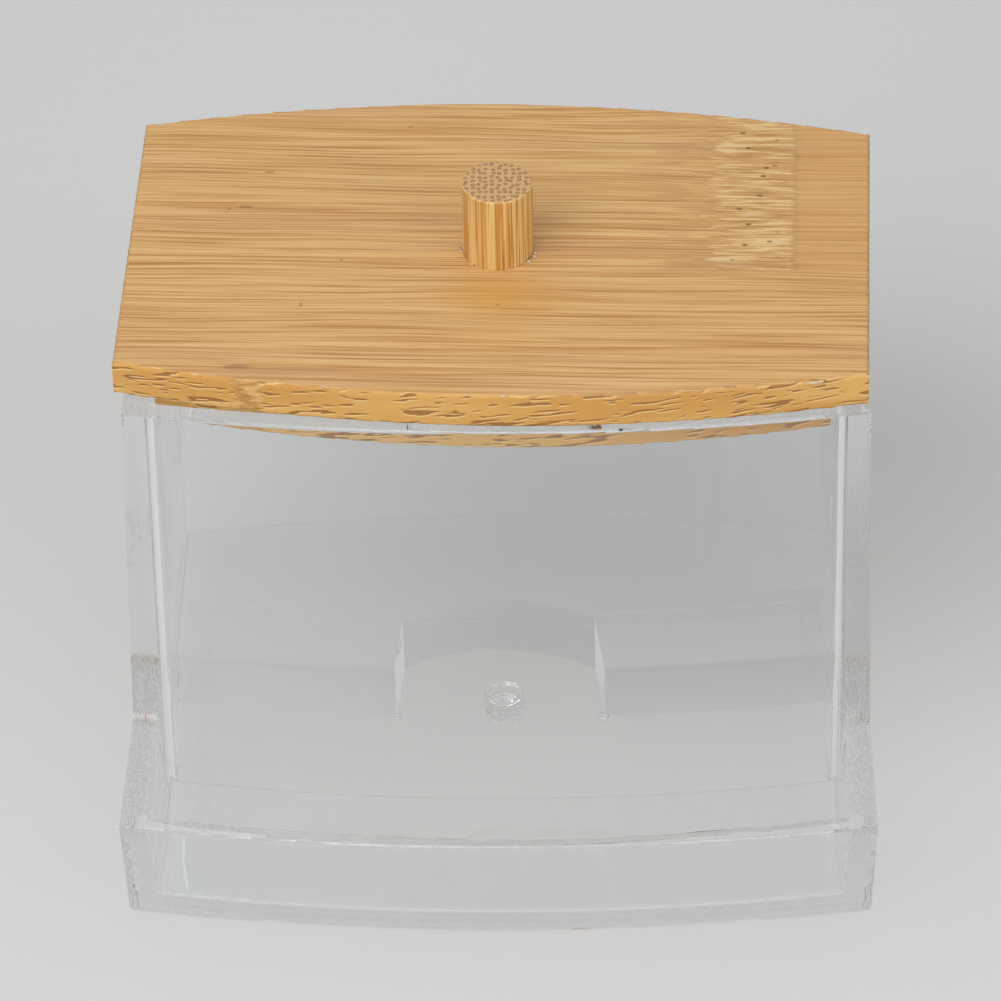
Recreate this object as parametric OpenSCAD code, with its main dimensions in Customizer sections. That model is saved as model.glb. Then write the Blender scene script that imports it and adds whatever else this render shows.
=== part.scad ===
// Clear swab box with a dispensing tray, and a lift-off bamboo lid with a dowel knob.
// The box is one moulding. Its front and back walls are bowed, so their sections are turned
// about two upright axes, and its flat sides are an extruded section.

/* [Box] */
// Width of the box across its rim
body_w = 95; // [80:0.5:120]
// How far each side stands out past the rim at the parting line, which is as high as the lip
side_swell = 0.9; // [0.4:0.1:1.5]
// How far each side draws in again from the parting line to the base
base_tuck = 0.5; // [0.2:0.1:1]
// Depth of the main box between its corners
body_d = 57.4; // [48:0.2:75]
// How far the front and back walls bow out between the corners
bow = 4.2; // [2:0.1:7]
// Height of the rim
body_h = 66.3; // [54:0.1:90]
// Thickness of the side walls at the rim
side_wall = 3; // [2:0.1:4]
// Thickness of the front panel
panel_t = 2.5; // [2:0.1:3.2]
// Thickness of the back wall
back_wall = 2.5; // [2:0.1:3.5]
// Thickness of the tray's floor
floor_t = 2.5; // [2:0.1:3.5]
// How far the main floor stands above the tray's floor
floor_step = 0.3; // [0.1:0.1:0.6]
// Radius inside, where the back wall meets the floor
back_fillet = 4; // [2:0.5:6]
// Radius inside, where the side walls meet the floor
side_fillet = 1.6; // [1:0.2:3]
// Radius of the upright corners inside
corner_fillet = 2.5; // [1.5:0.5:4]
// Radius round the outside of the base
base_round = 1.4; // [0.8:0.1:2]
// Radius of the outer edge of the rim
rim_round = 0.35; // [0.2:0.05:0.6]

/* [Panel] */
// How far each end of the slot under the panel stays in from the chamber's side wall
slot_step = 0.35; // [0.2:0.05:6]
// Height of the panel's lower edge at its front face
panel_edge_h = 27.2; // [24:0.1:32]
// How far the bevel under the panel leans from upright, as the tray core pulls out along it
bevel_lean = 13.4; // [11:0.2:16]
// Width of the finger notch at the panel's lower edge
notch_w = 27.8; // [20:0.2:36]
// How much each side of the notch leans in towards its top
notch_taper = 1.5; // [0.5:0.1:2.5]
// Height of the notch's shoulders above the panel's lower edge
notch_side_h = 8.3; // [6:0.1:12]
// Height of the notch's arch above its shoulders
notch_arch_h = 3.5; // [2.2:0.1:5]

/* [Tray] */
// How far the tray's lip stands out from the panel
tray_reach = 23.3; // [18:0.1:30]
// Height of the lip
lip_h = 17; // [14.5:0.1:20]
// Height of the tray's sides at the foot of the panel
tray_side_h = 15.6; // [13:0.1:18]
// Thickness of the lip at its middle
lip_t = 2.1; // [1.8:0.1:3]
// How much thicker the lip gets towards its ends
lip_gain = 0.5; // [0.2:0.1:1.2]
// How far the tray's front leans out from upright
front_lean = 7.5; // [5:0.5:12]
// How much more the inside of the tray's front leans
front_draft = 4; // [1:0.5:5]
// Thickness of the sides at the foot of the panel
foot_wall = 3.3; // [2.8:0.1:4.5]
// Draft of the tray's inner sides, upwards
tray_side_draft = 4; // [2:0.5:5]
// Opening of the tray's outer sides towards the lip, seen from above
tray_flare = 1; // [0.4:0.1:2.5]
// Opening of the tray's inner sides towards the lip
tray_inner_flare = 0.5; // [0.2:0.1:2]
// Radius between the front of the side walls and the top of the tray's sides
shoulder_fillet = 2.6; // [1:0.2:5]
// Radius inside, where the tray's front meets its floor
tray_fillet = 1.3; // [0.6:0.1:2]
// Radius inside, where the tray's sides meet its floor
tray_side_fillet = 1.1; // [0.6:0.1:2]
// Radius of the lip's outer edge
lip_round = 0.4; // [0.2:0.05:0.6]

/* [Gate] */
// Diameter of the boss that stands over the gate, inside on the floor
gate_boss_d = 5.5; // [5.2:0.1:8]
// Height of the boss above the main floor
gate_boss_h = 2.4; // [1:0.1:3]
// Radius of the boss's top edge
gate_boss_round = 0.5; // [0.2:0.1:0.9]
// Diameter of the gate well in the underside
gate_well_d = 5; // [3:0.1:5]
// Depth of the gate well
gate_well_h = 1.4; // [0.9:0.1:1.6]
// Diameter of the sprue stub left in the well
sprue_d = 4.2; // [1.5:0.1:4.4]
// Length of the sprue stub
sprue_h = 0.7; // [0.3:0.1:0.8]
// Direction of the straight cut across the stub, in degrees from the width
sprue_cut = 54; // [0:1:180]

/* [Lid] */
// How far the lid reaches past the rim at each end
lid_over = 0.5; // [0.2:0.1:3]
// How far the lid's corners stay back from the box's front and back corners
lid_set_back = 2.7; // [0:0.1:4]
// How much more the lid's front and back bow out than the walls of the box
lid_extra_bow = 1.6; // [0:0.1:3]
// Thickness of the lid's plate, above the rim
plate_t = 5; // [4:0.1:7]
// Thickness of the lid's plug, below the rim
plug_t = 4.4; // [2.5:0.1:6]
// Gap between the plug and each side wall
plug_gap = 1.5; // [1.2:0.1:2.6]
// Gap between the middle of the plug and the front and back walls
plug_gap_y = 1; // [0.8:0.1:1.6]
// How much more the plug's front and back bow out than the walls of the box
plug_extra_bow = 1.2; // [0.6:0.1:3]
// How far the lid lies turned in the mouth, within the plug's play, in degrees
lid_turn = -1.5; // [-1.5:0.1:1.5]
// Radius of the lid's edges
lid_round = 0.5; // [0.3:0.05:0.9]

/* [Knob] */
// How far the dowel stands in front of the lid's middle
knob_ahead = 0.7; // [0:0.1:2]
// Diameter of the dowel
knob_d = 9.2; // [7:0.1:12]
// Height of the dowel above the lid
knob_h = 10.7; // [8:0.1:16]
// How deep the dowel is let into the lid
knob_seat = 5.5; // [4:0.1:6]
// Radial gap for the glue
glue_gap = 0.05; // [0.03:0.01:0.1]
// Radius of the dowel's top edge
knob_round = 0.35; // [0.2:0.05:0.8]

/* [Hidden] */
clear_plastic = [0.86, 0.9, 0.92, 0.4];
bamboo = [0.87, 0.63, 0.33];
bamboo_dowel = [0.85, 0.62, 0.34];
fn_bow = 720;
fn_round = 48;
// Length by which a cutter runs past what it cuts
past = 1;
// Overlap of two cutters that have to open into each other
merge = 0.05;
// How far a wall and the round at its foot miss being tangent, so that they cross in a clean edge
ease = 0.02;

// Radius of a bow of the given sagitta across the given width
function bow_radius(width, sagitta) = (width * width / 4 + sagitta * sagitta) / (2 * sagitta);

// The front wall is turned about [0, front_axis_y], with y = 0 at the panel's corners
front_r = bow_radius(body_w, bow);
front_axis_y = front_r - bow;
back_axis_y = body_d - front_axis_y;
lip_r = front_r + tray_reach;
base_r = lip_r - lip_h * tan(front_lean);
parting_half_w = body_w / 2 + side_swell;
base_half_w = parting_half_w - base_tuck;
mouth_front_r = front_r - panel_t;
mouth_back_r = front_r - back_wall;
mouth_half_w = body_w / 2 - side_wall;
slot_half_w = mouth_half_w - slot_step;
// Inside of the tray at the foot of the panel, at the height of the sides
tray_half_w = parting_half_w - foot_wall;
main_floor = floor_t + floor_step;
cavity_top = body_h + past;
// Middle of the whole object's outline, which goes to the origin and has the gate below it
tray_front_y = front_axis_y - lip_r;
body_back_y = body_d + bow;
middle_y = (tray_front_y + body_back_y) / 2;
lid_y = body_d / 2;
lid_half_w = body_w / 2 + lid_over;
lid_half_d = body_d / 2 - lid_set_back;
lid_bow = bow + lid_extra_bow;
plug_bow = bow + plug_extra_bow;
plug_half_w = mouth_half_w - plug_gap;
plug_front_y = front_axis_y - mouth_front_r + plug_gap_y;
plug_back_y = back_axis_y + mouth_back_r - plug_gap_y;
far = body_w + body_d + tray_reach;

// A turned solid about the axis of the front wall
module turned_front() translate([0, front_axis_y, 0]) rotate_extrude($fn = fn_bow) children();
// A turned solid about the axis of the back wall
module turned_back() translate([0, back_axis_y, 0]) rotate_extrude($fn = fn_bow) children();
// A section across the width, run from front to back
module run_back() rotate([90, 0, 0]) linear_extrude(height = 2 * far, center = true) children();

// Cutter that rounds the corner at p to radius r. Its edges leave p at the angles a1 and a2.
module corner_cutter(p, a1, a2, r) {
  half = (a2 - a1) / 2;
  mid = (a1 + a2) / 2;
  t = r / tan(half);
  c = p + r / sin(half) * [cos(mid), sin(mid)];
  t1 = p + t * [cos(a1), sin(a1)];
  t2 = p + t * [cos(a2), sin(a2)];
  difference() {
    polygon([p - r * [cos(mid), sin(mid)], t1 + (t1 - c), c, t2 + (t2 - c)]);
    translate(c) circle(r, $fn = fn_round);
  }
}

// Section from the axis out to a wall that leans by a, with a round of radius r at its foot.
// foot_r is the wall's radius at height z0.
module leaning_section(foot_r, z0, z1, a, r) difference() {
  polygon([[0, z0], [foot_r, z0], [foot_r + (z1 - z0) * tan(a), z1], [0, z1]]);
  corner_cutter([foot_r, z0], 90 - a, 180, r);
}

// The same across the width: both sides lean by a, from half_w at height z0
module leaning_pair(half_w, z0, z1, a, r)
  for (s = [0, 1]) mirror([s, 0]) leaning_section(half_w, z0, z1, a, r);

// Section of everything in front, out from the axis: the wall up to the rim, the tops of the
// tray's sides with the fillet behind them, and the lip
module front_outline() {
  slope = atan((lip_h - tray_side_h) / tray_reach);
  sf = shoulder_fillet;
  cx = front_r + sf;
  cz = tray_side_h + sf * tan(slope) + sf / cos(slope);
  difference() {
    polygon([[0, 0], [base_r, 0], [lip_r, lip_h], [cx + sf * sin(slope), cz - sf * cos(slope)], [cx, cz],
             [front_r, cz], [front_r, body_h], [0, body_h]]);
    translate([cx, cz]) circle(sf, $fn = fn_round);
    corner_cutter([base_r, 0], 90 - front_lean, 180, base_round);
    corner_cutter([lip_r, lip_h], 180 + slope, 270 - front_lean, lip_round);
    corner_cutter([front_r, body_h], 180, 270, rim_round);
  }
}

// Section of one side's outside, across the width. It drafts both ways from the parting line.
module side_outline() {
  upper = atan(side_swell / (body_h - lip_h));
  lower = atan(base_tuck / lip_h);
  difference() {
    polygon([[0, 0], [base_half_w, 0], [parting_half_w, lip_h], [body_w / 2, body_h], [0, body_h]]);
    corner_cutter([base_half_w, 0], 90 - lower, 180, base_round);
    corner_cutter([body_w / 2, body_h], 180, 270 + upper, rim_round);
  }
}

// Both sides run straight from front to back. Beside the tray the same section, turned by the
// flare, stands out from them, and the two cross at the panel's corners.
module outer_sides() {
  run_back() for (s = [0, 1]) mirror([s, 0]) side_outline();
  for (s = [0, 1]) mirror([s, 0, 0])
    translate([parting_half_w, 0, 0]) rotate(tray_flare) translate([-parting_half_w, 0, 0])
      run_back() side_outline();
}

// Section of the back wall's outside, out from its axis
module back_outline() difference() {
  square([front_r, body_h]);
  corner_cutter([front_r, 0], 90, 180, base_round);
  corner_cutter([front_r, body_h], 180, 270, rim_round);
}

module outer_form() intersection() {
  outer_sides();
  turned_front() front_outline();
  turned_back() back_outline();
}

// Outline seen from above of a chamber with bowed ends and round upright corners
module chamber_plan(half_w, r_front, r_back, rc) {
  front_cy = front_axis_y - sqrt(pow(r_front - rc, 2) - pow(half_w - rc, 2));
  back_cy = back_axis_y + sqrt(pow(r_back - rc, 2) - pow(half_w - rc, 2));
  tangent_x = (half_w - rc) * r_front / (r_front - rc);
  intersection() {
    translate([-tangent_x, -far]) square([2 * tangent_x, 2 * far]);
    translate([0, front_axis_y]) circle(r_front, $fn = fn_bow);
    translate([0, back_axis_y]) circle(r_back, $fn = fn_bow);
  }
  translate([-half_w, front_cy]) square([2 * half_w, back_cy - front_cy]);
  for (s = [-1, 1]) for (cy = [front_cy, back_cy])
    translate([s * (half_w - rc), cy]) circle(rc, $fn = fn_round);
}

// What the upright core leaves: the main chamber
module chamber() intersection() {
  translate([0, 0, main_floor - past]) linear_extrude(height = cavity_top)
    chamber_plan(mouth_half_w, mouth_front_r, mouth_back_r, corner_fillet);
  run_back() leaning_pair(mouth_half_w + ease, main_floor, 2 * body_h, 0, side_fillet);
  turned_back() leaning_section(mouth_back_r + ease, main_floor, 2 * body_h, 0, back_fillet);
}

// What lies between the tray's inner sides, which draft upwards, open towards the lip and have
// a round at their foot
module between_tray_sides() {
  foot = tray_half_w - (tray_side_h - floor_t) * tan(tray_side_draft);
  intersection_for (s = [0, 1]) mirror([s, 0, 0])
    translate([foot, 0, 0]) rotate(tray_inner_flare) translate([-far, 0, 0])
      run_back() leaning_section(far, floor_t, body_h, tray_side_draft, tray_side_fillet);
}

// What the leaning core leaves: the tray, and the slot under the panel with its bevel
module tray_and_slot() {
  inner_lean = front_lean + front_draft;
  outer_sag = lip_r - sqrt(lip_r * lip_r - tray_half_w * tray_half_w);
  inner_r = bow_radius(2 * tray_half_w, outer_sag + lip_gain);
  inner_foot_r = inner_r - (lip_h - floor_t) * tan(inner_lean);
  tray_top = tray_side_h + shoulder_fillet + 2 * past;
  back_r = mouth_front_r - merge;
  face_r = front_r + merge;
  bevel_z = panel_edge_h - (front_r - back_r) / tan(bevel_lean);
  open_z = panel_edge_h + past / tan(bevel_lean);
  intersection() {
    between_tray_sides();
    union() {
      difference() {
        translate([0, tray_front_y + lip_t + inner_r, 0]) rotate_extrude($fn = fn_bow)
          leaning_section(inner_foot_r, floor_t, tray_top, inner_lean, tray_fillet);
        turned_front() square([face_r, body_h]);
      }
      intersection() {
        translate([-slot_half_w, -far, 0]) cube([2 * slot_half_w, 2 * far, body_h]);
        turned_front() polygon([[back_r, floor_t], [face_r + past, floor_t], [face_r + past, open_z],
                                [front_r + past, open_z], [back_r, bevel_z]]);
      }
    }
  }
}

// Finger notch, cut along the same leaning line as the bevel. It starts below the bevel's foot.
module finger_notch() {
  half = notch_w / 2;
  top_half = half - notch_taper;
  foot_half = half + notch_taper;
  back_set = top_half * top_half / (2 * front_r) * cos(bevel_lean);
  side_v = notch_side_h * sin(bevel_lean) + back_set;
  top_v = (notch_side_h + notch_arch_h) * sin(bevel_lean);
  arch_r = bow_radius(2 * top_half, top_v - side_v);
  down = (panel_t + past / 2) / sin(bevel_lean);
  along = 2 * (notch_side_h + notch_arch_h);
  translate([0, front_axis_y - front_r, panel_edge_h]) rotate([bevel_lean, 0, 0])
    translate([0, 0, -down]) linear_extrude(height = down + along) intersection() {
      polygon([[-foot_half, -side_v], [foot_half, -side_v], [top_half, side_v], [top_half, top_v + past],
               [-top_half, top_v + past], [-top_half, side_v]]);
      translate([0, top_v - arch_r]) circle(arch_r, $fn = fn_bow);
    }
}

module gate_boss() translate([0, middle_y, floor_t]) rotate_extrude($fn = fn_round) difference() {
  square([gate_boss_d / 2, floor_step + gate_boss_h]);
  corner_cutter([gate_boss_d / 2, floor_step + gate_boss_h], 180, 270, gate_boss_round);
}

// The well, with half a stub hanging from its ceiling
module gate_well() translate([0, middle_y, 0]) difference() {
  translate([0, 0, -past]) cylinder(d = gate_well_d, h = gate_well_h + past, $fn = fn_round);
  intersection() {
    translate([0, 0, gate_well_h - sprue_h]) cylinder(d = sprue_d, h = sprue_h + past, $fn = fn_round);
    rotate(sprue_cut) translate([-sprue_d, -sprue_d / 12, 0])
      cube([2 * sprue_d, 2 * sprue_d, 2 * gate_well_h]);
  }
}

module body() color(clear_plastic) translate([0, -middle_y, 0]) difference() {
  union() {
    difference() {
      outer_form();
      chamber();
      tray_and_slot();
      finger_notch();
    }
    gate_boss();
  }
  gate_well();
}

// Section of a board's edge, out to reach and from z0 to z1, with both or only its lower edge eased
module board_section(reach, z0, z1, ease_top) difference() {
  translate([0, z0]) square([reach, z1 - z0]);
  corner_cutter([reach, z0], 90, 180, lid_round);
  if (ease_top) corner_cutter([reach, z1], 180, 270, lid_round);
}

// A board about the origin, with flat ends and with a front and a back that bow by b.
// Its middle reaches from front_y to back_y.
module bowed_board(half_w, front_y, back_y, b, z0, z1, ease_top) {
  r = bow_radius(2 * half_w, b);
  intersection() {
    run_back() for (s = [0, 1]) mirror([s, 0]) board_section(half_w, z0, z1, ease_top);
    translate([0, front_y + r, 0]) rotate_extrude($fn = fn_bow) board_section(r, z0, z1, ease_top);
    translate([0, back_y - r, 0]) rotate_extrude($fn = fn_bow) board_section(r, z0, z1, ease_top);
  }
}

module lid() color(bamboo) translate([0, lid_y - middle_y, 0]) rotate(lid_turn) difference() {
  union() {
    bowed_board(lid_half_w, -lid_half_d - lid_bow, lid_half_d + lid_bow, lid_bow,
                body_h, body_h + plate_t, true);
    bowed_board(plug_half_w, plug_front_y - lid_y, plug_back_y - lid_y, plug_bow,
                body_h - plug_t, body_h + merge, false);
  }
  translate([0, -knob_ahead, body_h + plate_t - knob_seat])
    cylinder(r = knob_d / 2 + glue_gap, h = knob_seat + past, $fn = fn_round);
}

module knob() color(bamboo_dowel) translate([0, lid_y - middle_y, 0]) rotate(lid_turn)
  translate([0, -knob_ahead, body_h + plate_t - knob_seat]) rotate_extrude($fn = fn_round) difference() {
    square([knob_d / 2, knob_seat + knob_h]);
    corner_cutter([knob_d / 2, knob_seat + knob_h], 180, 270, knob_round);
  }

body();
lid();
knob();
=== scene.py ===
import bpy
import bmesh
import math
import random
from mathutils import Matrix, Vector


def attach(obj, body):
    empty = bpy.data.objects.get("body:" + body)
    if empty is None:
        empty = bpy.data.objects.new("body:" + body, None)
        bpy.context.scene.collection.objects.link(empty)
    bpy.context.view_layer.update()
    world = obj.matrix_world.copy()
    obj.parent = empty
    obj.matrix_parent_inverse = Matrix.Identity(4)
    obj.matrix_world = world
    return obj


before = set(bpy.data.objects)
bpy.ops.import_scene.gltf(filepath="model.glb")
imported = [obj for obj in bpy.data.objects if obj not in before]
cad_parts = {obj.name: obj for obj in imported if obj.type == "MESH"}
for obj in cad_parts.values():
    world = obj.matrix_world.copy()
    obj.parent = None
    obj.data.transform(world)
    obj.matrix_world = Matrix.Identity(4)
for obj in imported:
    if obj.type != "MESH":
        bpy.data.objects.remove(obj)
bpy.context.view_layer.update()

# ---- The box ----
# One clear moulding of crystal polystyrene: chamber, slot and tray in a single shot. It is glossy
# and colourless. The steel of the mould left it smooth on the walls, and dull where the two cores
# shut off, on the tops of the tray's sides and on the strips beside the panel's bevel.


class Wire:
    """One output socket of a material's nodes. Sums and products of it add their Math nodes."""

    def __init__(self, nodes, socket):
        self.nodes = nodes
        self.socket = socket

    def math(self, operation, *values):
        return self.nodes.node("ShaderNodeMath", dict(operation=operation),
                               **{str(i): v for i, v in enumerate(values)})

    def __add__(self, other):
        return self.math("ADD", self, other)

    __radd__ = __add__

    def __sub__(self, other):
        return self.math("SUBTRACT", self, other)

    def __rsub__(self, other):
        return self.math("SUBTRACT", other, self)

    def __mul__(self, other):
        return self.math("MULTIPLY", self, other)

    __rmul__ = __mul__

    def __truediv__(self, other):
        return self.math("DIVIDE", self, other)

    def __rtruediv__(self, other):
        return self.math("DIVIDE", other, self)

    def __abs__(self):
        return self.math("ABSOLUTE", self)

    def sin(self):
        return self.math("SINE", self)

    def most(self, other):
        return self.math("MAXIMUM", self, other)

    def step(self, low, high):
        """0 below low and 1 above high, with a smooth rise between."""
        return self.nodes.node("ShaderNodeMapRange", dict(interpolation_type="SMOOTHSTEP"),
                               Value=self, From_Min=low, From_Max=high)


class Finish:
    """A material and its nodes, with a Principled shader at the end."""

    def __init__(self, name):
        self.material = bpy.data.materials.new(name)
        self.material.use_nodes = True
        self.tree = self.material.node_tree
        self.shader = self.tree.nodes["Principled BSDF"]
        self.output = self.tree.nodes["Material Output"]

    def node(self, kind, settings=None, out=0, **inputs):
        """Adds a node: its settings first, then its sockets. Socket names use _ for a space."""
        made = self.tree.nodes.new(kind)
        for key, value in (settings or {}).items():
            setattr(made, key, value)
        for key, value in inputs.items():
            self.feed(made.inputs[int(key)] if key.isdigit() else self.named(made, key), value)
        return Wire(self, made.outputs[out])

    def named(self, made, key):
        for socket in made.inputs:
            if socket.name == key.replace("_", " ") and socket.enabled:
                return socket
        raise KeyError(key)

    def feed(self, socket, value):
        if isinstance(value, Wire):
            self.tree.links.new(value.socket, socket)
        else:
            socket.default_value = value

    def mix(self, share, a, b):
        """Colour a going over to colour b by share."""
        made = self.tree.nodes.new("ShaderNodeMix")
        made.data_type = "RGBA"
        self.feed(made.inputs[0], share)
        self.feed(made.inputs[6], a if isinstance(a, Wire) else (*a, 1))
        self.feed(made.inputs[7], b if isinstance(b, Wire) else (*b, 1))
        return Wire(self, made.outputs[2])

    def place(self):
        """Where a point of the surface is, in the row frame, in metres."""
        return self.node("ShaderNodeTexCoord", out=3)

    def parts(self, vector):
        made = self.tree.nodes.new("ShaderNodeSeparateXYZ")
        self.feed(made.inputs[0], vector)
        return [Wire(self, made.outputs[i]) for i in range(3)]

    def point(self, x, y, z):
        return self.node("ShaderNodeCombineXYZ", X=x, Y=y, Z=z)

    def noise(self, at, scale, detail, rough):
        return self.node("ShaderNodeTexNoise", dict(noise_dimensions="3D"), Vector=at,
                         Scale=scale, Detail=detail, Roughness=rough)

    def set(self, **inputs):
        for key, value in inputs.items():
            self.feed(self.named(self.shader, key), value)

    def bump(self, height, strength, distance):
        self.set(Normal=self.node("ShaderNodeBump", Height=height, Strength=strength,
                                  Distance=distance))


clear = Finish("clear_plastic")
x, y, z = [part * 1000 for part in clear.parts(clear.place())]
side = abs(x)
_, ny, nz = clear.parts(clear.node("ShaderNodeNewGeometry", out=1))

# Where the cores shut off the steel was rough: on the strips beside the bevel, from the tops of
# the tray's sides up to the bevel, and on those tops out to the lip. The tray's left corner is scuffed
faces_front = 1 - (ny + 0.9).step(0.0, 0.5)
strips = side.step(44.3, 44.8) * z.step(15.2, 16.2) * (1 - z.step(23.5, 28.5)) * faces_front
tops = side.step(44.6, 45.1) * z.step(15.2, 15.6) * (1 - z.step(17.0, 18.2)) * nz.step(0.6, 0.9)
tops = tops * y.step(-38.5, -37.6)
corner = (1 - abs(x + 40).step(3, 9)) * (1 - z.step(5, 9)) * (1 - (y + 38).step(-1, 2))
streaks = clear.noise(clear.point(x * 2.6 + z * 0.2, y * 0.9, z * 0.35), 1.0, 2.0, 0.65)
dull = (strips * streaks.step(0.36, 0.62) * 0.42).most(tops * streaks.step(0.36, 0.60) * 0.42)
dull = dull.most(corner * streaks.step(0.56, 0.66) * 0.3)
clear.set(Base_Color=(0.965, 0.978, 0.985, 1), Roughness=dull + 0.012, IOR=1.57,
          Transmission_Weight=1.0)

# The melt left long upright ripples on the walls, and zigzag cross ripples at the ends of the
# tray's front
ripple = clear.noise(clear.point(x * 0.35, y * 0.35, z * 0.03), 1.0, 0.0, 0.5)
ends = side.step(44.2, 46.2) * (1 - (y + 36).step(-2, 2)) * (1 - z.step(16, 17))
zigzag = (z * 1.9 + (x * 2.3).sin() * 0.8).sin() * ends
clear.bump(ripple * 0.05 + zigzag * 0.022 + dull * 0.05, 1.0, 0.001)

# A wall this thin lets the lamps through, so rays to them pass it straight
straight = clear.node("ShaderNodeBsdfTransparent", Color=(0.955, 0.965, 0.97, 1))
rays = clear.tree.nodes.new("ShaderNodeLightPath")
shadow_ray = Wire(clear, rays.outputs["Is Shadow Ray"])
bounced_ray = Wire(clear, rays.outputs["Is Diffuse Ray"])
wall = clear.tree.nodes.new("ShaderNodeMixShader")
clear.feed(wall.inputs[0], shadow_ray.most(bounced_ray))
clear.tree.links.new(clear.shader.outputs[0], wall.inputs[1])
clear.feed(wall.inputs[2], straight)
clear.tree.links.new(wall.outputs[0], clear.output.inputs[0])

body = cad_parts["body"]
body.data.materials.clear()
body.data.materials.append(clear.material)

# ---- Flash and beads on the box ----
# The mould's halves met at the front corners, and left a torn flake of flash at the right one's
# top and a small one at the left. Each lower corner of the finger notch has a bead of melt.


def new_piece(name, made, finish, body_name, smooth=False):
    """Turns a bmesh into a piece that rides on a body, and takes its finish from a slot."""
    bmesh.ops.recalc_face_normals(made, faces=made.faces)
    mesh = bpy.data.meshes.new(name)
    made.to_mesh(mesh)
    made.free()
    piece = bpy.data.objects.new(name, mesh)
    bpy.context.scene.collection.objects.link(piece)
    mesh.materials.append(finish.material)
    for face in mesh.polygons:
        face.use_smooth = smooth
    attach(piece, body_name)
    return piece


torn = Finish("torn_plastic")
crazed = torn.noise(torn.point(*[part * 1000 for part in torn.parts(torn.place())]), 2.2, 3.0, 0.7)
torn.set(Base_Color=(0.93, 0.95, 0.96, 1), Roughness=crazed.step(0.35, 0.65) * 0.5 + 0.1, IOR=1.57,
         Transmission_Weight=0.45)
torn.bump(crazed, 0.8, 0.0002)

tear = random.Random(5)
corner_x, corner_y, rim_z = 47.33, -17.05, 66.1
flare = 0.0062
flake_section = ((-0.5, 0.02), (-0.15, 0.26), (0.2, 0.14), (0.5, 0.3), (0.55, -0.05), (-0.5, -0.12))
for name, sign, rows, length, wide in (("flash_right", 1, 15, 5.6, 1.15),
                                       ("flash_left", -1, 7, 1.9, 0.55)):
    flake = bmesh.new()
    rings = []
    for row in range(rows):
        down = row / (rows - 1)
        taper = wide * (1 - max(0.0, down - 0.72) / 0.28 * 0.9) * tear.uniform(0.82, 1.1)
        level = rim_z - down * length
        ring = []
        for reach, out in flake_section:
            spread = reach * taper * 0.55
            at_x = corner_x + flare * (rim_z - level) + spread + tear.uniform(-0.05, 0.05)
            at_y = corner_y - out * min(1.0, taper) + tear.uniform(-0.05, 0.05)
            ring.append(flake.verts.new((sign * at_x / 1000, at_y / 1000, level / 1000)))
        rings.append(ring)
    for upper, lower in zip(rings, rings[1:]):
        for i in range(6):
            flake.faces.new((upper[i], upper[(i + 1) % 6], lower[(i + 1) % 6], lower[i]))
    flake.faces.new(rings[0])
    flake.faces.new(rings[-1])
    new_piece(name, flake, torn, "box")

turns, panel_y, foot_z = 20, -18.55, 16.75
bead_profile = ((1.0, -0.30), (1.08, -0.1), (1.0, 0.12), (0.8, 0.22), (0.62, 0.14), (0.3, 0.06))
for name, at_x, radius in (("bead_right", 13.45, 0.62), ("bead_left", -13.6, 0.42)):
    bead = bmesh.new()
    rings = []
    for share, out in bead_profile:
        ring = []
        for i in range(turns):
            angle = math.tau * i / turns
            reach = radius * share * (1 + 0.06 * math.sin(3 * angle + 1))
            ring.append(bead.verts.new(((at_x + reach * math.cos(angle)) / 1000,
                                        (panel_y - out) / 1000,
                                        (foot_z + reach * math.sin(angle)) / 1000)))
        rings.append(ring)
    for inner, outer in zip(rings, rings[1:]):
        for i in range(turns):
            bead.faces.new((inner[i], inner[(i + 1) % turns], outer[(i + 1) % turns], outer[i]))
    bead.faces.new(rings[0])
    bead.faces.new(rings[-1])
    new_piece(name, bead, torn, "box", smooth=True)

# ---- The lid ----
# A board of pressed bamboo strips, milled to the bowed outline with a lower step that drops into
# the mouth. Its grain runs along the width, and the strip at the back has a node near its right
# end. It is sanded fine and has a thin clear oil. It lies a little askew in its play.

bamboo = Finish("bamboo")
x, y, z = [part * 1000 for part in bamboo.parts(bamboo.place())]
nx, ny, _ = bamboo.parts(bamboo.node("ShaderNodeNewGeometry", out=1))
lid_turn, lid_middle = math.radians(1.5), 11.65
along = x * math.cos(lid_turn) - (y - lid_middle) * math.sin(lid_turn)
across = x * math.sin(lid_turn) + (y - lid_middle) * math.cos(lid_turn)
seam = -4.6
back_strip = (across - seam).step(-0.05, 0.05)

# The grain: long fibres that swing a little, fine dark vessels among them, and slow changes of tone
swing = bamboo.noise(bamboo.point(along * 0.035, across * 0.12, z * 0.1), 1.0, 0.0, 0.4) - 0.5
level = across + swing * 1.6
fibre = bamboo.noise(bamboo.point(along * 0.022, level * 1.5, z * 1.5), 1.0, 2.0, 0.6)
vessel = bamboo.noise(bamboo.point(along * 0.035 + 5, level * 3.7, z * 3.7), 1.0, 2.0, 0.62)
tone_slow = bamboo.noise(bamboo.point(along * 0.012, level * 0.22, z * 0.2), 1.0, 1.0, 0.5)
pale, tan, brown = (0.82, 0.50, 0.19), (0.69, 0.37, 0.12), (0.47, 0.205, 0.06)
rose, light = (0.66, 0.375, 0.165), (0.86, 0.60, 0.30)
grain = bamboo.mix(fibre.step(0.38, 0.60), tan, pale)
grain = bamboo.mix(tone_slow.step(0.46, 0.66) * 0.45, grain, (0.735, 0.43, 0.165))
grain = bamboo.mix((1 - tone_slow.step(0.34, 0.50)) * 0.5, grain, rose)
grain = bamboo.mix(vessel.step(0.50, 0.64) * 0.75, grain, brown)
grain = bamboo.mix((1 - vessel.step(0.34, 0.46)) * 0.5, grain, light)
grain = bamboo.mix((1 - abs(across - seam).step(0.04, 0.16)) * 0.3, grain, brown)

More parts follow.
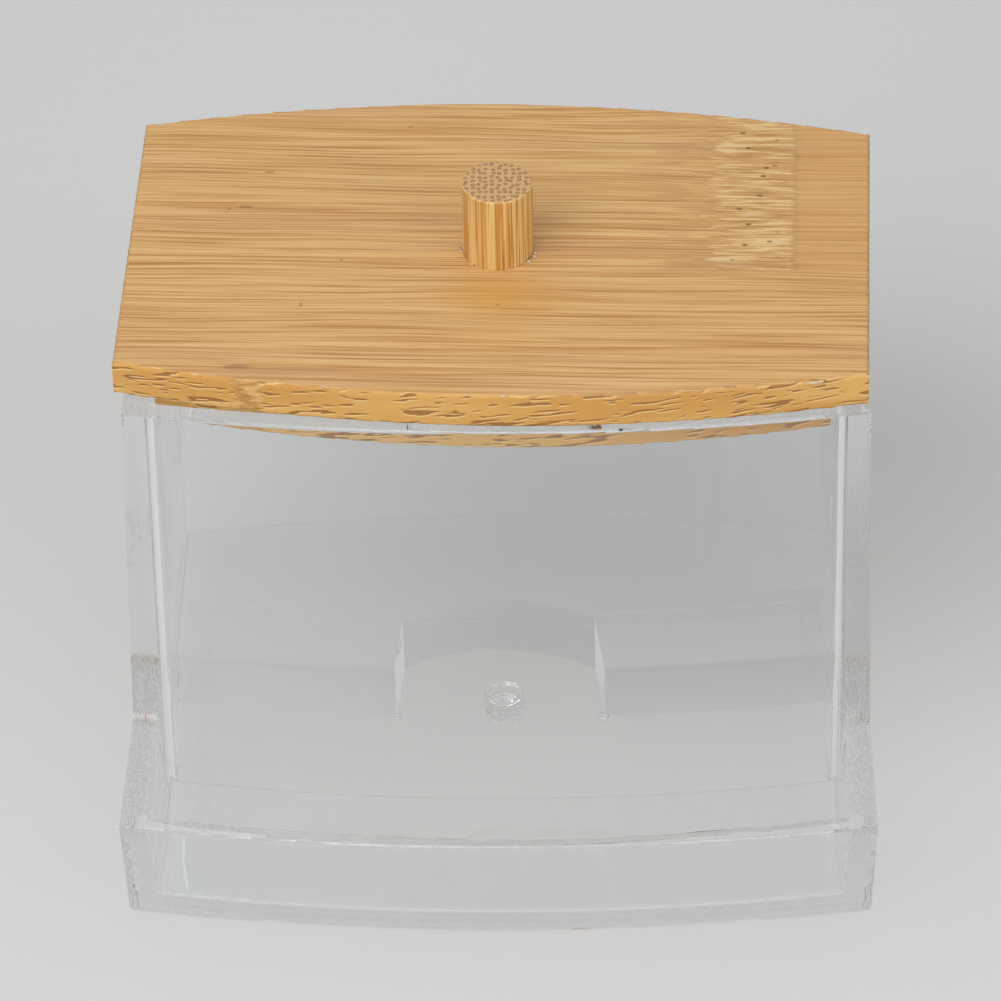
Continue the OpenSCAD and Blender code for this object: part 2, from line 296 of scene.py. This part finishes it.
# The node: a band of frayed fibres with dark pits, that ends in a soft brown line on its right. To
# its left the fibres are stained brown and swing
ragged = bamboo.noise(bamboo.point(along * 0.02, across * 1.6, z), 1.0, 2.0, 0.6) - 0.5
curl = bamboo.noise(bamboo.point(along * 0.14, across * 0.45, z), 1.0, 1.0, 0.5) - 0.5
frayed = bamboo.noise(bamboo.point(along * 0.16, (across + curl * 0.5) * 2.6, z), 1.0, 2.0, 0.6)
band_end = 1 - (along + ragged * 1.2).step(37.9, 38.7)
band = (along + ragged * 9).step(27.6, 28.6) * band_end * back_strip
near = (along + ragged * 12).step(14, 27) * (1 - along.step(27.5, 30)) * back_strip
grain = bamboo.mix(near * curl.step(-0.04, 0.10) * 0.5, grain, (0.59, 0.30, 0.125))
grain = bamboo.mix(near * frayed.step(0.52, 0.62) * 0.55, grain, (0.54, 0.265, 0.095))
knot = bamboo.mix(frayed.step(0.50, 0.58), (0.68, 0.375, 0.125), (0.88, 0.63, 0.31))
knot = bamboo.mix((1 - frayed.step(0.36, 0.45)) * 0.85, knot, (0.46, 0.22, 0.07))
grain = bamboo.mix(band * 0.8, grain, knot)
pits = bamboo.node("ShaderNodeTexVoronoi", dict(voronoi_dimensions="2D", feature="F1"), out=0,
                   Vector=bamboo.point(along * 0.20, across * 0.30, 0.0), Scale=1.0, Randomness=0.9)
pit_column = along.step(29.5, 31) * (1 - along.step(34.5, 37)) * band
grain = bamboo.mix((1 - pits.step(0.05, 0.10)) * pit_column * 0.85, grain, (0.20, 0.095, 0.045))
cut = 1 - abs(along + ragged * 1.4 - 38.4).step(0.1, 0.9)
grain = bamboo.mix(cut * back_strip * 0.28, grain, (0.46, 0.22, 0.09))
grain = bamboo.mix(along.step(38.2, 39.4) * back_strip * 0.4, grain, (0.70, 0.36, 0.11))
streak = (1 - abs(across - seam - 1.1).step(0.2, 1.2)) * along.step(18, 27) * (1 - along.step(36, 43))
grain = bamboo.mix(streak * 0.5, grain, (0.52, 0.235, 0.085))


def smudge(at_x, at_y, wide, deep):
    """1 at a place on the lid's top, and 0 from an ellipse round it outwards."""
    off_x, off_y = (x - at_x) / wide, (y - at_y) / deep
    return 1 - (off_x * off_x + off_y * off_y).step(0.0, 1.0)


# Glue drew a warm patch in front of the dowel. There are a few dark specks.
grain = bamboo.mix(smudge(0.8, 0.8, 10.5, 4.6) * 0.5, grain, (0.72, 0.37, 0.085))
dark_specks = ((-12.1, 38.0, 0.45, 0.3), (-30.4, 27.9, 0.9, 0.35), (-33.2, 20.2, 1.3, 0.35),
               (-35.3, 19.7, 0.4, 0.3), (-25.1, -1.0, 0.3, 0.6), (0.1, -1.1, 0.35, 0.3),
               (-20.3, 8.6, 0.3, 0.3), (-32.8, -14.0, 2.4, 0.7))
for at_x, at_y, wide, deep in dark_specks:
    grain = bamboo.mix(smudge(at_x, at_y, wide, deep) * 0.55, grain, (0.24, 0.11, 0.06))
grain = bamboo.mix(smudge(-27, -14.8, 10, 1.3) * 0.35, grain, (0.52, 0.26, 0.15))

# The milled edges cut the vessels at a slant: short dark dashes, each with a painted highlight beside it
slant = z - along * 0.10 + swing * 2
dash = bamboo.noise(bamboo.point(along * 0.30, across * 0.3, slant * 2.5), 1.0, 1.0, 0.5)
painted_glint = bamboo.noise(bamboo.point(along * 0.30, across * 0.3, slant * 2.5 + 0.5), 1.0, 1.0, 0.5)
edge = bamboo.mix(tone_slow.step(0.35, 0.65), (0.70, 0.345, 0.075), (0.82, 0.47, 0.13))
# Painted highlight: a bright dash laid beside each dark dash
edge = bamboo.mix(painted_glint.step(0.57, 0.63) * 0.75, edge, (0.95, 0.66, 0.27))
edge = bamboo.mix(dash.step(0.57, 0.62) * 0.9, edge, (0.34, 0.13, 0.02))
ring = 1 - abs(along + 30.6 + ragged).step(1.2, 2.3)
whorl = bamboo.mix(frayed.step(0.4, 0.6), (0.50, 0.23, 0.05), (0.84, 0.54, 0.20))
edge = bamboo.mix(ring * 0.7, edge, whorl)
wood = bamboo.mix(abs(ny).step(0.45, 0.7), grain, edge)

# The sawn ends show the vessels end on, as dark pores
cells = bamboo.node("ShaderNodeTexVoronoi", dict(voronoi_dimensions="2D", feature="F1"), out=0,
                    Vector=bamboo.point(across * 1.1, z * 1.5, 0.0), Scale=1.0, Randomness=0.8)
end = bamboo.mix(cells.step(0.12, 0.3), (0.2, 0.085, 0.03), (0.66, 0.37, 0.15))
wood = bamboo.mix(abs(nx).step(0.6, 0.9), wood, end)
bamboo.set(Base_Color=wood, Roughness=vessel.step(0.5, 0.7) * 0.15 + 0.42)
relief = bamboo.noise(bamboo.point(along * 0.06, across * 3.4, z * 3.4), 1.0, 1.0, 0.5)
bamboo.bump(relief, 0.6, 0.00006)
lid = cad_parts["lid"]
lid.data.materials.clear()
lid.data.materials.append(bamboo.material)

# The cutter tore a pale chip out of the front arris near its right end, and small splinters
# stand along the arris
splinter_wood = Finish("torn_bamboo")
x, y, z = [part * 1000 for part in splinter_wood.parts(splinter_wood.place())]
shred = splinter_wood.noise(splinter_wood.point(x * 1.2, y * 5, z * 5), 1.0, 2.0, 0.6)
torn_fibre = splinter_wood.mix(shred.step(0.4, 0.6), (0.72, 0.46, 0.22), (0.93, 0.80, 0.62))
splinter_wood.set(Base_Color=torn_fibre, Roughness=0.7)
splinter_wood.bump(shred, 0.8, 0.0002)
lid_top = 71.3
splinter_groups = (("chip_right", 40.4, -17.42, -13.5, 2.6, 0.75, 5),
                   ("splinters_left", -21.3, -18.05, 4.5, 1.0, 0.35, 2),
                   ("splinters_front", 1.0, -20.12, -1.5, 1.1, 0.35, 2))
for name, at_x, at_y, turn, long, deep, count in splinter_groups:
    heading = math.radians(turn)
    shards = bmesh.new()
    for shard in range(count):
        length = long * tear.uniform(0.45, 0.8)
        start = tear.uniform(-0.5, 0.5) * (long - length)
        off = tear.uniform(-0.5, 0.3) * deep
        width = tear.uniform(0.12, 0.24)
        crown = tear.uniform(0.05, 0.13)
        rings = []
        for step in range(7):
            share = step / 6
            swell = math.sin(math.pi * (0.12 + 0.76 * share)) ** 0.6
            ring = []
            for side_step in range(6):
                angle = math.tau * side_step / 6
                local_x = start + (share - 0.5) * length
                local_y = off + width * swell * math.cos(angle) + tear.uniform(-0.03, 0.03)
                up = lid_top - 0.03 + crown * swell * math.sin(angle) + tear.uniform(-0.01, 0.02)
                turned_x = local_x * math.cos(heading) + local_y * math.sin(heading)
                turned_y = local_y * math.cos(heading) - local_x * math.sin(heading)
                ring.append(shards.verts.new(((at_x + turned_x) / 1000, (at_y + turned_y) / 1000,
                                              up / 1000)))
            rings.append(ring)
        for one, two in zip(rings, rings[1:]):
            for i in range(6):
                shards.faces.new((one[i], one[(i + 1) % 6], two[(i + 1) % 6], two[i]))
        shards.faces.new(rings[0])
        shards.faces.new(rings[-1])
    new_piece(name, shards, splinter_wood, "lid", smooth=True)

# ---- The knob ----
# A short bamboo dowel, cut across the grain at the top and glued into a blind hole in the lid.
# Its vessels show as rings of dark pores on the cut, and as stripes down the side.

dowel = Finish("bamboo_dowel")
x, y, z = [part * 1000 for part in dowel.parts(dowel.place())]
nx, ny, nz = dowel.parts(dowel.node("ShaderNodeNewGeometry", out=1))
x, y = x, y - 10.95
stripe = dowel.noise(dowel.point(x * 1.9, y * 1.9, z * 0.02), 1.0, 2.0, 0.5)
hair = dowel.noise(dowel.point(x * 4.2, y * 4.2, z * 0.05), 1.0, 2.0, 0.5)
bark = dowel.mix(stripe.step(0.40, 0.60), (0.66, 0.32, 0.065), (0.90, 0.60, 0.23))
bark = dowel.mix(hair.step(0.58, 0.65) * 0.8, bark, (0.46, 0.185, 0.035))
bark = dowel.mix((1 - hair.step(0.34, 0.42)) * 0.7, bark, (0.95, 0.74, 0.38))
pores = dowel.node("ShaderNodeTexVoronoi", dict(voronoi_dimensions="2D", feature="F1"), out=0,
                   Vector=dowel.point(x, y, 0.0), Scale=1.18, Randomness=0.5)
fleck = dowel.noise(dowel.point(x * 2.5, y * 2.5, 0.0), 1.0, 2.0, 0.5)
cut_face = dowel.mix(fleck.step(0.4, 0.6), (0.68, 0.385, 0.165), (0.74, 0.45, 0.205))
hole = pores.step(0.10, 0.19) * (1 - pores.step(0.24, 0.36))
cut_face = dowel.mix(hole * 0.85, cut_face, (0.14, 0.055, 0.025))
rim = (x * x + y * y).step(18.6, 20.2)
cut_face = dowel.mix(rim * 0.6, cut_face, (0.86, 0.58, 0.28))
dowel.set(Base_Color=dowel.mix(nz.step(0.75, 0.9), bark, cut_face), Roughness=0.45)
dowel.bump(hair, 0.5, 0.0001)
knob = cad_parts["knob"]
knob.data.materials.clear()
knob.data.materials.append(dowel.material)

# Glue was wiped off the dowel's foot, and left crumbs with sanding dust in them
glue = Finish("dusty_glue")
specks = glue.noise(glue.place(), 2600.0, 2.0, 0.6)
dusty = glue.mix(specks.step(0.42, 0.58), (0.42, 0.20, 0.09), (0.86, 0.72, 0.54))
glue.set(Base_Color=dusty, Roughness=0.5)
glue.bump(specks, 0.7, 0.0001)
crumb_heap = bmesh.new()
dowel_radius, dowel_y = 4.62, 10.95
heaps = ((180, 16, 9, 0.24), (-28, 15, 8, 0.26), (-138, 7, 3, 0.15), (-75, 30, 4, 0.1), (60, 60, 4, 0.12))
for middle, spread, count, size in heaps:
    for crumb in range(count):
        angle = math.radians(middle + tear.uniform(-1, 1) * spread)
        big = size * tear.uniform(0.5, 1.15)
        reach = dowel_radius + tear.uniform(0.1, 0.75) * size * 2
        lump = bmesh.ops.create_icosphere(crumb_heap, subdivisions=2, radius=big / 1000)["verts"]
        flat = tear.uniform(0.45, 0.8)
        for vert in lump:
            vert.co *= tear.uniform(0.8, 1.15)
            vert.co.z *= flat
            vert.co += Vector((reach * math.cos(angle), dowel_y + reach * math.sin(angle),
                               lid_top + big * flat * 0.45)) / 1000
new_piece("glue_crumbs", crumb_heap, glue, "lid", smooth=True)

# ---- The studio ----
# A plain pale floor that carries the shadow, grey cards, soft panels of light and the camera. None
# of it is a piece of the box.

floor = Finish("pale_floor")
floor.set(Base_Color=(0.8, 0.8, 0.8, 1), Roughness=0.6)
bpy.ops.mesh.primitive_plane_add(size=6, location=(0, 0, 0))
ground = bpy.context.object
ground.name = "studio_floor"
ground.data.materials.append(floor.material)

room = bpy.data.worlds.new("studio")
bpy.context.scene.world = room
room.use_nodes = True
room.node_tree.nodes["Background"].inputs["Color"].default_value = (1, 1, 1, 1)
room.node_tree.nodes["Background"].inputs["Strength"].default_value = 0.55

# Two grey cards stand beside the box, out of the picture, so that its clear edges show
card = Finish("grey_card")
card.set(Base_Color=(0.2, 0.2, 0.2, 1), Roughness=0.9)
for card_x in (-0.30, 0.30):
    bpy.ops.mesh.primitive_plane_add(size=1, location=(card_x, 0.05, 0.11),
                                     rotation=(0, math.pi / 2, 0))
    board = bpy.context.object
    board.name = "studio_card"
    board.scale = (0.22, 0.5, 1)
    board.data.materials.append(card.material)
    board.visible_camera = False


def light_panel(name, at, aim, size, power):
    lamp = bpy.data.lights.new(name, "AREA")
    lamp.shape = "RECTANGLE"
    lamp.size, lamp.size_y = size
    lamp.energy = power
    holder = bpy.data.objects.new(name, lamp)
    bpy.context.scene.collection.objects.link(holder)
    holder.location = at
    holder.rotation_euler = (Vector(aim) - Vector(at)).to_track_quat("-Z", "Y").to_euler()


light_panel("key_panel", (-0.35, -0.45, 0.70), (0, 0, 0.04), (0.7, 0.5), 3.2)
light_panel("fill_panel", (0.50, -0.42, 0.48), (0, 0, 0.04), (0.4, 0.6), 1.0)

# The camera stands where the photograph was taken from: turned 1.68 degrees to the right, raised
# 38.79 degrees, with the box 0.88 m away, and the picture is turned by 1.12 degrees.
azimuth, elevation, roll = math.radians(1.68), math.radians(38.79), math.radians(-1.12)
distance = 0.88411
aim = Vector((0.00016, 0.010 - 0.01705, 0.04394))
back = Vector((math.sin(azimuth) * math.cos(elevation), -math.cos(azimuth) * math.cos(elevation),
               math.sin(elevation)))
across = Vector((math.cos(azimuth), math.sin(azimuth), 0))
up = back.cross(across)
right = across * math.cos(roll) + up * math.sin(roll)
top = up * math.cos(roll) - across * math.sin(roll)
lens = bpy.data.cameras.new("camera")
lens.sensor_width = 36
lens.lens = 6805.09 * 36 / 1001
lens.clip_start = 0.01
camera = bpy.data.objects.new("camera", lens)
bpy.context.scene.collection.objects.link(camera)
spot = aim + back * distance
camera.matrix_world = Matrix(((right.x, top.x, back.x, spot.x), (right.y, top.y, back.y, spot.y),
                              (right.z, top.z, back.z, spot.z), (0, 0, 0, 1)))
bpy.context.scene.camera = camera
bpy.context.scene.view_settings.view_transform = "Standard"

# Light that the clear walls guide down from the rim turns many times before it leaves them
light_paths = bpy.context.scene.cycles
light_paths.max_bounces = 32
light_paths.glossy_bounces = 24
light_paths.transmission_bounces = 24
light_paths.transparent_max_bounces = 32
